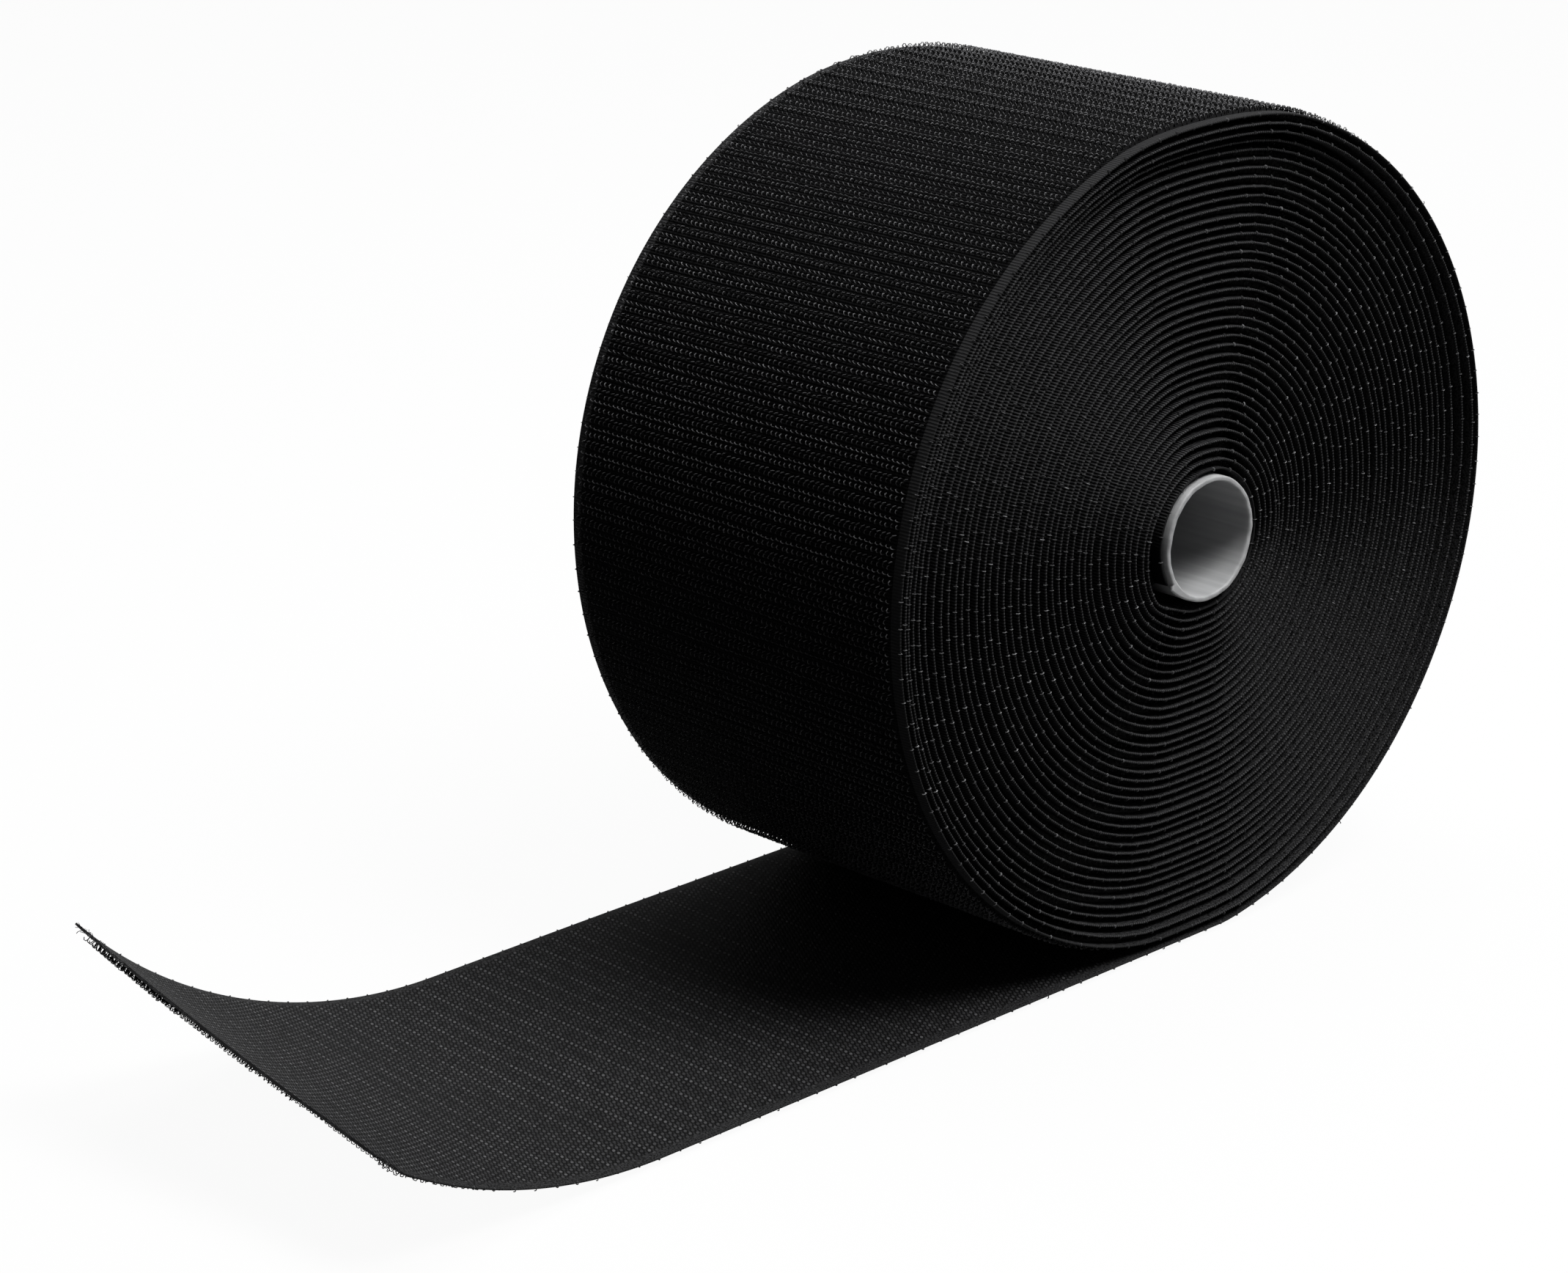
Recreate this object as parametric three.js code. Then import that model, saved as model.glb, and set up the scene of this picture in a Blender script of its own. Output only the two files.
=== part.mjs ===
import * as THREE from "three";

// A roll of woven hook tape on a plastic core tube, hooks outwards, with its loose end out on the floor.
// Millimetres, +Z up, floor at z = 0. The core's axis runs along Y above the origin, the loose end to -X.

// The tape: a woven ground with hooks standing on one side, and a plain selvedge along both edges.
const TAPE_WIDTH = 100;
const GROUND_THICKNESS = 0.6;
const HOOK_HEIGHT = 1.15;
const SELVEDGE_WIDTH = 2.5;

// The core: a thin tube with one long fin that catches the inner end of the tape.
const CORE_DIAMETER = 28;
const CORE_WALL = 1.25;
const CORE_PROUD = 1;
const CORE_SIDES = 56;
const FIN_SHARE = 0.6;
const FIN_HALF_ANGLE = 4.5;
const FIN_LEAN = 0.6;

// The winding: as many turns as the diameter over the hooks takes, in equal flats, one of them the foot.
const ROLL_DIAMETER = 191.6;
const TURN_STEPS = 28;
const INNER_SHARE = 0.436;
const SAG = 0.012;

// The loose end: flat on the floor, then curled up across a slanted crease. Lengths run along the tape.
const LEAD_OUT = 14;
const ROOT_LENGTH = 56;
const MID_LENGTH = 60;
const TIP_LENGTH = 110.7;
const CURL_START = 159.1;
const CURL_SLANT = 12.2;
const CURL_RADIUS = 117;
const CUT_SKEW = 12.6;
const TIP_STEPS = 16;
const TIP_COLUMNS = 6;

// Fits between neighbours.
const TURN_CLEARANCE = 0.3;
const CORE_CLEARANCE = 0.4;
const END_GAP = 0.4;
const PILE_GAP = 0.3;
const HINGE_RELIEF = 0.4;

const rad = THREE.MathUtils.degToRad;
const PITCH = GROUND_THICKNESS + HOOK_HEIGHT + TURN_CLEARANCE;
const CORE_RADIUS = CORE_DIAMETER / 2;
const BORE_RADIUS = CORE_RADIUS - CORE_WALL;
const CORE_LENGTH = TAPE_WIDTH + 2 * CORE_PROUD;
const HALF = TAPE_WIDTH / 2;
const PILE_HALF = HALF - SELVEDGE_WIDTH;
const STEP = rad(360 / TURN_STEPS);
const END_ANGLE = rad(-90) - STEP / 2;
const START_RADIUS = CORE_RADIUS + CORE_CLEARANCE;
const WOUND_DEPTH = ROLL_DIAMETER / 2 - HOOK_HEIGHT - GROUND_THICKNESS - START_RADIUS;
const STEPS = Math.round((WOUND_DEPTH / PITCH) * TURN_STEPS);
const END_RADIUS = START_RADIUS + (PITCH * STEPS) / TURN_STEPS;
const INNER_STEPS = Math.round(INNER_SHARE * STEPS);
const OUTER_START = STEPS - TURN_STEPS;
const HOOKS_START = OUTER_START + 1;

// Angle of step k, counted outwards along the tape. Seen from the front, the tape winds clockwise.
function angleAt(k) {
  return END_ANGLE + (STEPS - k) * STEP;
}

// A point of the winding at step k, lift above the tape's inner face, round the core's axis.
// The roll has settled under its own weight: it is a little wider than tall, more so towards its outside.
function spiral(k, lift) {
  const a = angleAt(k);
  const r = START_RADIUS + (PITCH * k) / TURN_STEPS + lift;
  const settled = r * (1 + SAG * (r / END_RADIUS) * Math.cos(2 * a));
  return new THREE.Vector2(settled * Math.cos(a), settled * Math.sin(a));
}

const AXIS_HEIGHT = HOOK_HEIGHT - spiral(STEPS, GROUND_THICKNESS).y;

// The same point above the floor. The last flat is the foot, so both its ends lie level.
function wound(k, lift) {
  const p = spiral(k, lift);
  const foot = HOOK_HEIGHT + GROUND_THICKNESS - lift;
  const level = k > STEPS - 2;
  return new THREE.Vector2(p.x, level ? foot : p.y + AXIS_HEIGHT);
}

// A closed slab between two grids of points of the same size, faces turned outwards.
function slab(upper, lower) {
  const rows = upper.length;
  const cols = upper[0].length;
  const points = [...upper.flat(), ...lower.flat()];
  const up = (i, j) => i * cols + j;
  const low = (i, j) => rows * cols + i * cols + j;
  const faces = [];
  const quad = (a, b, c, d) => faces.push(a, b, c, a, c, d);
  for (let i = 0; i + 1 < rows; i++) {
    for (let j = 0; j + 1 < cols; j++) {
      quad(up(i, j), up(i + 1, j), up(i + 1, j + 1), up(i, j + 1));
      quad(low(i, j), low(i, j + 1), low(i + 1, j + 1), low(i + 1, j));
    }
    quad(up(i, 0), low(i, 0), low(i + 1, 0), up(i + 1, 0));
    quad(up(i, cols - 1), up(i + 1, cols - 1), low(i + 1, cols - 1), low(i, cols - 1));
  }
  for (let j = 0; j + 1 < cols; j++) {
    quad(up(0, j), up(0, j + 1), low(0, j + 1), low(0, j));
    quad(up(rows - 1, j), low(rows - 1, j), low(rows - 1, j + 1), up(rows - 1, j + 1));
  }
  let volume = 0;
  for (let f = 0; f < faces.length; f += 3) {
    const [a, b, c] = [points[faces[f]], points[faces[f + 1]], points[faces[f + 2]]];
    volume += a.dot(new THREE.Vector3().crossVectors(b, c));
  }
  if (volume < 0) faces.reverse();
  const geometry = new THREE.BufferGeometry().setFromPoints(points);
  geometry.setIndex(faces);
  return geometry.toNonIndexed();
}

// A strip of the winding: profile points on its inner and outer faces, carried across the width.
function strip(inner, outer, half) {
  const across = (p) => [-half, half].map((y) => new THREE.Vector3(p.x, y, p.y));
  return slab(outer.map(across), inner.map(across));
}

// Steps from first to last, with the first and last points drawn in by half an end gap along the tape.
function span(first, last, lift) {
  const points = [];
  for (let k = first; k <= last; k++) points.push(wound(k, lift));
  const n = points.length - 1;
  const trim = (end, next) => end.clone().add(next.clone().sub(end).setLength(END_GAP / 2));
  const start = trim(points[0], points[1]);
  const stop = trim(points[n], points[n - 1]);
  return [start, ...points.slice(1, n), stop];
}

// A point of the loose end: along is the length from under the axis, across the place on the width,
// lift the height above the tape's upper face.
function loose(along, across, lift) {
  const slant = rad(CURL_SLANT);
  const past = (along - CURL_START) * Math.cos(slant) + (across + HALF) * Math.sin(slant);
  const turn = Math.max(past, 0) / CURL_RADIUS;
  const drawn = CURL_RADIUS * (turn - Math.sin(turn)) + lift * Math.sin(turn);
  const x = -along + drawn * Math.cos(slant);
  const y = across - drawn * Math.sin(slant);
  const rise = CURL_RADIUS * (1 - Math.cos(turn)) + lift * Math.cos(turn);
  return new THREE.Vector3(x, y, HOOK_HEIGHT + GROUND_THICKNESS + rise);
}

// A piece of the loose end from one length to another, between two lifts. The far length may be skewed.
function flap(from, to, skew, half, top, bottom, rows, cols) {
  const grid = (lift) =>
    Array.from({ length: rows + 1 }, (_, i) =>
      Array.from({ length: cols + 1 }, (_, j) => {
        const across = half * ((2 * j) / cols - 1);
        const end = to - skew * (0.5 - across / TAPE_WIDTH);
        return loose(from + ((end - from) * i) / rows, across, lift);
      }),
    );
  return slab(grid(top), grid(bottom));
}

// The core tube with its fin, drawn as an outline in the roll's end view and carried along the axis.
function core() {
  const fin = angleAt(0) + rad(FIN_HALF_ANGLE) + END_GAP / CORE_RADIUS;
  const at = (r, a) => new THREE.Vector2(r * Math.cos(a), r * Math.sin(a));
  const outline = [];
  const clear = rad(FIN_HALF_ANGLE);
  const sweep = 2 * Math.PI - 2 * clear;
  for (let i = 0; i <= CORE_SIDES; i++) outline.push(at(CORE_RADIUS, fin + clear + (sweep * i) / CORE_SIDES));
  outline.push(at(CORE_RADIUS + FIN_SHARE * PITCH, fin - clear * FIN_LEAN));
  const hole = [];
  for (let i = 0; i < CORE_SIDES; i++) hole.push(at(BORE_RADIUS, fin - (2 * Math.PI * i) / CORE_SIDES));
  const shape = new THREE.Shape(outline);
  shape.holes.push(new THREE.Path(hole));
  const tube = new THREE.ExtrudeGeometry(shape, { depth: CORE_LENGTH, bevelEnabled: false });
  tube.rotateX(Math.PI / 2);
  tube.translate(0, CORE_LENGTH / 2, AXIS_HEIGHT);
  return tube;
}

// The least gap between one turn of the tape and the next, taken flat by flat.
function leastTurnGap() {
  let least = Infinity;
  for (let k = 0; k + TURN_STEPS < STEPS; k++) {
    const a = wound(k + TURN_STEPS, 0);
    const b = wound(k + TURN_STEPS + 1, 0);
    const along = b.clone().sub(a).normalize();
    for (const p of [wound(k, GROUND_THICKNESS), wound(k + 1, GROUND_THICKNESS)]) {
      least = Math.min(least, Math.abs(along.cross(p.clone().sub(a))));
    }
  }
  return least;
}
console.log("least gap between turns, mm: " + leastTurnGap().toFixed(2));

const TAPE_BLACK = 0x16171a;
const HOOK_BLACK = 0x0c0c0e;
const CORE_GREY = 0xc4c6c8;

const roll = new THREE.Group();
roll.name = "hook_tape_roll";

function add(name, geometry, color, roughness) {
  const mesh = new THREE.Mesh(geometry, new THREE.MeshStandardMaterial({ color, roughness }));
  mesh.name = name;
  roll.add(mesh);
}

function addWinding(name, first, last) {
  const inner = span(first, last, 0);
  const outer = span(first, last, GROUND_THICKNESS);
  add(name, strip(inner, outer, HALF), TAPE_BLACK, 0.85);
}

add("core_tube", core(), CORE_GREY, 0.45);
addWinding("winding_inner", 0, INNER_STEPS);
addWinding("winding_outer", INNER_STEPS, OUTER_START);

// The outermost turn, with the flat lead-out past the foot that it shares with the loose end.
const leadX = -(LEAD_OUT - END_GAP / 2);
const turnInner = [];
const turnOuter = [];
for (let k = OUTER_START; k <= STEPS; k++) {
  turnInner.push(wound(k, 0));
  turnOuter.push(wound(k, GROUND_THICKNESS));
}
turnInner[0] = span(OUTER_START, STEPS, 0)[0];
turnOuter[0] = span(OUTER_START, STEPS, GROUND_THICKNESS)[0];
turnInner.push(new THREE.Vector2(leadX, HOOK_HEIGHT + GROUND_THICKNESS));
turnOuter.push(new THREE.Vector2(leadX, HOOK_HEIGHT));
add("outer_turn", strip(turnInner, turnOuter, HALF), TAPE_BLACK, 0.85);

// Its hooks, a band between the selvedges, from where the loose end lies clear of it round to the lead-out.
const pileX = -(LEAD_OUT - HINGE_RELIEF);
const pileInner = [];
const pileOuter = [];
for (let k = HOOKS_START; k <= STEPS; k++) {
  pileInner.push(wound(k, GROUND_THICKNESS + PILE_GAP));
  pileOuter.push(wound(k, GROUND_THICKNESS + HOOK_HEIGHT));
}
pileInner.push(new THREE.Vector2(pileX, HOOK_HEIGHT - PILE_GAP));
pileOuter.push(new THREE.Vector2(pileX, 0));
add("outer_turn_hooks", strip(pileInner, pileOuter, PILE_HALF), HOOK_BLACK, 0.6);

// The loose end in three stretches between its bend lines, each with its own band of hooks underneath.
const ROOT_END = LEAD_OUT + ROOT_LENGTH;
const MID_END = ROOT_END + MID_LENGTH;
const TIP_END = MID_END + TIP_LENGTH;
const stretches = [
  { name: "tail_root", from: LEAD_OUT, to: ROOT_END, tip: false },
  { name: "tail_mid", from: ROOT_END, to: MID_END, tip: false },
  { name: "tail_tip", from: MID_END, to: TIP_END, tip: true },
];
for (const { name, from, to, tip } of stretches) {
  const rows = tip ? TIP_STEPS : 1;
  const cols = tip ? TIP_COLUMNS : 1;
  const skew = tip ? CUT_SKEW : 0;
  const groundEnd = tip ? to : to - END_GAP / 2;
  const ground = flap(from + END_GAP / 2, groundEnd, skew, HALF, 0, -GROUND_THICKNESS, rows, cols);
  add(name, ground, TAPE_BLACK, 0.85);
  const under = -GROUND_THICKNESS - PILE_GAP;
  const tips = -GROUND_THICKNESS - HOOK_HEIGHT;
  const pile = flap(from + HINGE_RELIEF, to - HINGE_RELIEF, skew, PILE_HALF, under, tips, rows, cols);
  add(name + "_hooks", pile, HOOK_BLACK, 0.6);
}

export default roll;
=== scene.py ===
"""A roll of black woven hook tape on a milky core tube, its loose end laid out and curled up at the cut."""

import logging
import math
from dataclasses import dataclass, field
from enum import Enum
from functools import reduce

import bpy
import numpy as np
from mathutils import Matrix, Vector


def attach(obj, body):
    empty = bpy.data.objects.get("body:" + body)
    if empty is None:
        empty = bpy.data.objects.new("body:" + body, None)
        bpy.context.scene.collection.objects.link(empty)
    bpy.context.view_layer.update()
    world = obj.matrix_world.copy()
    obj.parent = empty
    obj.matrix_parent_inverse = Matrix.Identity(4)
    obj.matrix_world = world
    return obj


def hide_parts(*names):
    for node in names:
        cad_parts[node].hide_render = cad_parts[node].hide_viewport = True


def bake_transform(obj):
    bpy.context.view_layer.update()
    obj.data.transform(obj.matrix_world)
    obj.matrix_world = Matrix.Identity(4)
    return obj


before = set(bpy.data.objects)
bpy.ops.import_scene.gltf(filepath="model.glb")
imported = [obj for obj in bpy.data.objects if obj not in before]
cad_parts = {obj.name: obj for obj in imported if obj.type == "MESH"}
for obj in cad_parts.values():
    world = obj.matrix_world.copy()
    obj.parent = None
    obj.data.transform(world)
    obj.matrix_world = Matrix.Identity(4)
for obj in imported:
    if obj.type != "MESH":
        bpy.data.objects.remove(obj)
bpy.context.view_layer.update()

MM = 0.001
TURN = 2.0 * math.pi
UV_LENGTH = 100.0
SHARP = math.radians(60.0)
LOG = logging.getLogger("hook_tape_roll")

Array = np.ndarray
Colour = tuple[float, float, float]
Waves = tuple[tuple[float, ...], ...]
Socket = bpy.types.NodeSocket
Material = bpy.types.Material
Piece = bpy.types.Object


class Face(Enum):
    """The four faces of the woven ground, in the order of its material slots."""

    BACK = 0
    HOOK_SIDE = 1
    SELVEDGE = 2
    EDGE = 3


class Edge(Enum):
    """The two long edges of the tape, by the sign of their side."""

    FRONT = -1
    REAR = 1


def ease(x: Array) -> Array:
    """Smooth step: 0 below 0, 1 above 1, three x squared less two x cubed between."""
    x = np.clip(x, 0.0, 1.0)
    return x * x * (3.0 - 2.0 * x)


def unit(v: Array) -> Array:
    """Each vector divided by its length."""
    return v / np.linalg.norm(v, axis=-1, keepdims=True)


def waves(parts: Waves, *places: Array) -> Array:
    """A sum of sine waves.

    Args:
        parts: for each wave its height, its rate along every place, and its start.
        places: the coordinates that the waves run along.

    Returns:
        The sum of height times the sine of (rates times places, plus start).
    """
    total = 0.0
    for height, *rates, start in parts:
        total = total + height * np.sin(sum(rate * x for rate, x in zip(rates, places)) + start)
    return total


def ring_faces(rings: int, around: int, closed: bool = False) -> tuple[Array, Array, Array]:
    """Joins rings of points, numbered ring after ring, by quads.

    Args:
        rings: number of rings.
        around: points in each ring.
        closed: whether the last ring joins the first.

    Returns:
        The ring and the place in it of each quad's four corners, and the quads.
    """
    i, j = np.meshgrid(np.arange(rings if closed else rings - 1), np.arange(around), indexing="ij")
    rows, places = np.stack([i, i, i + 1, i + 1], axis=-1), np.stack([j, j + 1, j + 1, j], axis=-1)
    return rows, places, (rows % rings * around + places % around).reshape(-1, 4)


@dataclass
class Surface:
    """Points and faces of one piece in millimetres, before they become a mesh."""

    points: Array
    quads: Array
    triangles: Array = field(default_factory=lambda: np.zeros((0, 3), int))
    uvs: dict[str, Array] = field(default_factory=dict)
    values: dict[str, Array] = field(default_factory=dict)
    slots: Array | None = None

    def turned_out(self) -> "Surface":
        """Reverses every face where the signed volume, the sum of a . (b x c) / 6, is below zero.

        Returns:
            The same surface with its faces outwards.
        """
        q, t = self.quads, self.triangles
        fans = np.concatenate([q[:, [0, 1, 2]], q[:, [0, 2, 3]], t])
        a, b, c = (self.points[fans[:, i]] for i in range(3))
        if np.einsum("ij,ij->", a, np.cross(b, c)) < 0:
            self.quads, self.triangles = q[:, ::-1], t[:, ::-1]
            cut = 4 * len(q)
            for name, uv in self.uvs.items():
                four = uv[:cut].reshape(-1, 4, 2)[:, ::-1].reshape(-1, 2)
                three = uv[cut:].reshape(-1, 3, 2)[:, ::-1].reshape(-1, 2)
                self.uvs[name] = np.concatenate([four, three])
        return self

    def piece(self, name: str, materials: list[Material], smooth: bool = True) -> Piece:
        """Puts the arrays into a mesh object at the origin, with sharp ends on a strip of several finishes.

        Args:
            name: the piece's name.
            materials: its finishes, in slot order.
            smooth: whether its faces are shaded smooth.

        Returns:
            The new object, in metres.
        """
        mesh = bpy.data.meshes.new(name)
        corners = np.concatenate([self.quads.ravel(), self.triangles.ravel()]).astype(np.int32)
        totals = np.repeat([4, 3], [len(self.quads), len(self.triangles)])
        shaded_start = np.concatenate([[0], np.cumsum(totals)[:-1]]).astype(np.int32)
        parts = (
            (mesh.vertices, len(self.points), "co", (self.points * MM).astype(np.float32).ravel()),
            (mesh.loops, len(corners), "vertex_index", corners),
            (mesh.polygons, len(totals), "loop_start", shaded_start),
        )
        for part, count, key, value in parts:
            part.add(count)
            part.foreach_set(key, value)
        if self.slots is not None:
            mesh.polygons.foreach_set("material_index", self.slots.astype(np.int32))
        mesh.polygons.foreach_set("use_smooth", np.full(len(totals), smooth))
        for key, uv in self.uvs.items():
            layer = mesh.uv_layers.new(name=key)
            layer.data.foreach_set("uv", uv.astype(np.float32).ravel())
        for key, value in self.values.items():
            attribute = mesh.attributes.new(key, "FLOAT", "POINT")
            attribute.data.foreach_set("value", value.astype(np.float32))
        mesh.update(calc_edges=True)
        mesh.validate()
        if self.slots is not None:
            mesh.set_sharp_from_angle(angle=SHARP)
        for material in materials:
            mesh.materials.append(material)
        made = bpy.data.objects.new(name, mesh)
        bpy.context.scene.collection.objects.link(made)
        LOG.info("%s: %d points, %d faces", name, len(self.points), len(totals))
        return made


class Graph:
    """The node tree of one finish, or of the world, with short ways to add what it needs."""

    def __init__(self, name: str, world: bool = False) -> None:
        """Starts an empty tree under a name.

        Args:
            name: the name of the finish or world.
            world: whether the tree is a world's.
        """
        self.owner = (bpy.data.worlds if world else bpy.data.materials).new(name)
        self.owner.use_nodes = True
        self.tree = self.owner.node_tree
        self.tree.nodes.clear()

    def feed(self, socket: Socket, value: object) -> None:
        """Links a socket into another, or sets its constant, with full cover for a colour.

        Args:
            socket: the input.
            value: the socket or constant that it gets.
        """
        if isinstance(value, Socket):
            self.tree.links.new(value, socket)
        else:
            socket.default_value = (*value, 1.0) if socket.type == "RGBA" else value

    def add(self, kind: str, inputs: dict[object, object], **settings: object) -> bpy.types.Node:
        """Adds a node.

        Args:
            kind: Blender's node type.
            inputs: constants or sockets by the name or number of the input.
            settings: properties of the node.

        Returns:
            The node.
        """
        node = self.tree.nodes.new(kind)
        for key, value in settings.items():
            setattr(node, key, value)
        for key, value in inputs.items():
            self.feed(node.inputs[key], value)
        return node

    def math(self, operation: str, *values: object) -> Socket:
        """The result of one Math node on constants or sockets."""
        return self.add("ShaderNodeMath", dict(enumerate(values)), operation=operation).outputs[0]

    def times(self, *values: object) -> Socket:
        """The product of two or more constants or sockets."""
        return reduce(lambda a, b: self.math("MULTIPLY", a, b), values)

    def plus(self, first: object, second: object) -> Socket:
        """The sum of two constants or sockets."""
        return self.math("ADD", first, second)

    def wave(self, place: object, length: float) -> Socket:
        """A sine wave along a place, from its wavelength."""
        return self.math("SINE", self.times(place, TURN / length))

    def mixed(self, share: object, low: object, high: object) -> Socket:
        """A colour between two, by a share from 0 to 1."""
        return self.add("ShaderNodeMix", {0: share, 6: low, 7: high}, data_type="RGBA").outputs[2]

    def step(self, value: object, low: float, high: float, out_low: float, out_high: float) -> Socket:
        """A smooth step of a value from one range to another."""
        inputs = {0: value, 1: low, 2: high, 3: out_low, 4: out_high}
        return self.add("ShaderNodeMapRange", inputs, interpolation_type="SMOOTHSTEP").outputs[0]

    def tape(self) -> tuple[Socket, Socket]:
        """The place on the tape in millimetres, along it and across it from the front edge.

        Returns:
            The two sockets.
        """
        uv = self.add("ShaderNodeUVMap", {}, uv_map="tape").outputs[0]
        parts = self.add("ShaderNodeSeparateXYZ", {0: uv})
        return tuple(self.times(parts.outputs[i], UV_LENGTH) for i in (0, 1))

    def noise(self, scale: float, detail: float = 3.0, stretch: Colour = (1.0, 1.0, 1.0)) -> Socket:
        """Soft noise on Object coordinates.

        Args:
            scale: how fine it is.
            detail: how many finer layers it has.
            stretch: scale along each axis.

        Returns:
            The noise, 0 to 1.
        """
        place = self.add("ShaderNodeTexCoord", {}).outputs["Object"]
        turned = self.add("ShaderNodeMapping", {"Vector": place, "Scale": stretch}).outputs[0]
        inputs = {"Vector": turned, "Scale": scale, "Detail": detail, "Roughness": 0.55}
        return self.add("ShaderNodeTexNoise", inputs).outputs["Fac"]

    def bump(self, height: object, distance: float, strength: float = 1.0) -> Socket:
        """A normal that follows a height, whose full step is distance in metres."""
        inputs = {"Height": height, "Distance": distance, "Strength": strength}
        return self.add("ShaderNodeBump", inputs).outputs[0]

    def finish(self, **inputs: object) -> Material:
        """Closes the tree with the main shader.

        Args:
            inputs: constants or sockets of the shader, underscores for spaces.

        Returns:
            The material.
        """
        named = {key.replace("_", " "): value for key, value in inputs.items()}
        shader = self.add("ShaderNodeBsdfPrincipled", named)
        self.add("ShaderNodeOutputMaterial", {"Surface": shader.outputs[0]})
        return self.owner


@dataclass(frozen=True)
class WovenBack:
    """The back of the tape: a diagonal lattice of small raised floats on black yarn, with a plain border; the
    floats are coloured lighter than the yarn as their painted sheen.
    """

    name: str = "woven_back"
    grain: float = 0.36
    yarn: Colour = (0.003, 0.003, 0.0031)
    # the floats' colour: lighter than the black yarn as painted sheen
    floats: Colour = (0.084, 0.084, 0.0865)
    group: float = 5.5
    rows: float = 4.0
    twills: float = 6.0
    picks: float = 8.0
    column_step: float = 1.48
    lean: float = 0.45
    float_half: tuple[float, float] = (0.36, 0.33)
    width: float = 100.0
    border: float = 2.6

    def material(self) -> Material:
        """Four rows of leaning oval floats to a group, every other row half a step over, the first brightest.

        Between them a steeper, finer twill runs at six waves to a group, cut by its eight weft picks.

        Returns:
            The finish.
        """
        g = Graph(self.name)
        along, across = g.tape()
        row = g.math("DIVIDE", along, self.group / self.rows)
        row_number = g.math("FLOOR", row)
        shift = g.times(g.math("FLOORED_MODULO", row_number, 2.0), 0.5)
        column = g.plus(g.math("DIVIDE", across, self.column_step), shift)
        f, e = (g.math("SUBTRACT", g.math("FRACT", x), 0.5) for x in (row, column))
        leaned = g.plus(e, g.times(f, self.lean))
        parts = (g.math("DIVIDE", x, half) for x, half in zip((f, leaned), self.float_half))
        oval = g.step(g.plus(*(g.math("POWER", x, 2.0) for x in parts)), 0.25, 1.3, 1.0, 0.0)
        lead = g.step(g.math("FLOORED_MODULO", row_number, self.rows), 0.4, 0.6, 1.0, 0.5)
        spot = g.add("ShaderNodeCombineXYZ", {0: row_number, 1: g.math("FLOOR", column)}).outputs[0]
        speck = g.add("ShaderNodeTexWhiteNoise", {"Vector": spot}, noise_dimensions="2D").outputs["Value"]
        chance = g.step(speck, 0.0, 1.0, 0.5, 1.0)
        patch = g.step(g.noise(45.0), 0.3, 0.7, 0.8, 1.0)
        twill_rate = self.twills * TURN / self.group
        slope = g.plus(g.times(along, twill_rate), g.times(across, TURN / self.column_step))
        picks = g.step(g.wave(along, self.group / self.picks), -0.8, 0.6, 0.4, 1.0)
        twill = g.step(g.math("SINE", slope), -0.5, 0.9, 0.04, 0.32)
        fine = g.times(twill, picks, g.step(g.noise(800.0, 1.0), 0.3, 0.7, 0.3, 1.0))
        lattice = g.math("MAXIMUM", g.times(oval, lead, chance, patch), fine)
        from_edge = g.math("MINIMUM", across, g.math("SUBTRACT", self.width, across))
        inside = g.step(from_edge, 0.7 * self.border, 1.2 * self.border, 0.0, 1.0)
        grain = g.step(g.noise(2400.0, 2.0), 0.3, 0.7, 0.0, self.grain)
        shown = g.plus(g.times(lattice, inside), g.times(grain, g.math("SUBTRACT", 1.0, inside)))
        return g.finish(
            Base_Color=g.mixed(shown, self.yarn, self.floats),
            Roughness=g.step(shown, 0.0, 1.0, 0.62, 0.44),
            Specular_IOR_Level=0.01,
            Normal=g.bump(shown, 0.0002),
        )


@dataclass(frozen=True)
class RibbedBorder:
    """A plain border or the very edge of the tape: fine weft ribs across it, with the crests coloured lighter
    as painted highlight and the furrows dark as painted shade.
    """

    name: str
    furrow: Colour
    rib: Colour
    # painted shade: before this length only the dark furrow colour shows
    shaded_start: float = -1.0e6
    rib_step: float = 0.6875
    crest: tuple[float, float] = (-0.6, 0.8)
    grain: float = 900.0
    gaps: tuple[float, float, float] = (0.25, 0.7, 0.45)
    crest_roughness: float = 0.5
    gloss: float = 0.01
    depth: float = 0.00015

    def material(self) -> Material:
        """A wave along the tape for the ribs, broken by noise, and none where the tape starts, which keeps
        only the dark furrow colour there as painted shade.

        Returns:
            The finish.
        """
        g = Graph(self.name)
        along, _ = g.tape()
        ribs = g.step(g.wave(along, self.rib_step), *self.crest, 0.0, 1.0)
        broken = g.step(g.noise(self.grain, 2.0), *self.gaps, 1.0)
        shown = g.times(ribs, broken, g.step(along, self.shaded_start + 6.0, self.shaded_start + 16.0, 0.0, 1.0))
        return g.finish(
            Base_Color=g.mixed(shown, self.furrow, self.rib),
            Roughness=g.step(shown, 0.0, 1.0, 0.7, self.crest_roughness),
            Specular_IOR_Level=self.gloss,
            Normal=g.bump(shown, self.depth),
        )


@dataclass(frozen=True)
class HookSideGround(RibbedBorder):
    """The ground between the hooks: weft rows in deep shade."""

    rib_step: float = 0.69
    crest: tuple[float, float] = (-1.0, 1.0)
    grain: float = 700.0
    gaps: tuple[float, float, float] = (0.3, 0.7, 0.4)
    crest_roughness: float = 0.7
    gloss: float = 0.005
    depth: float = 0.0001


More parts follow.
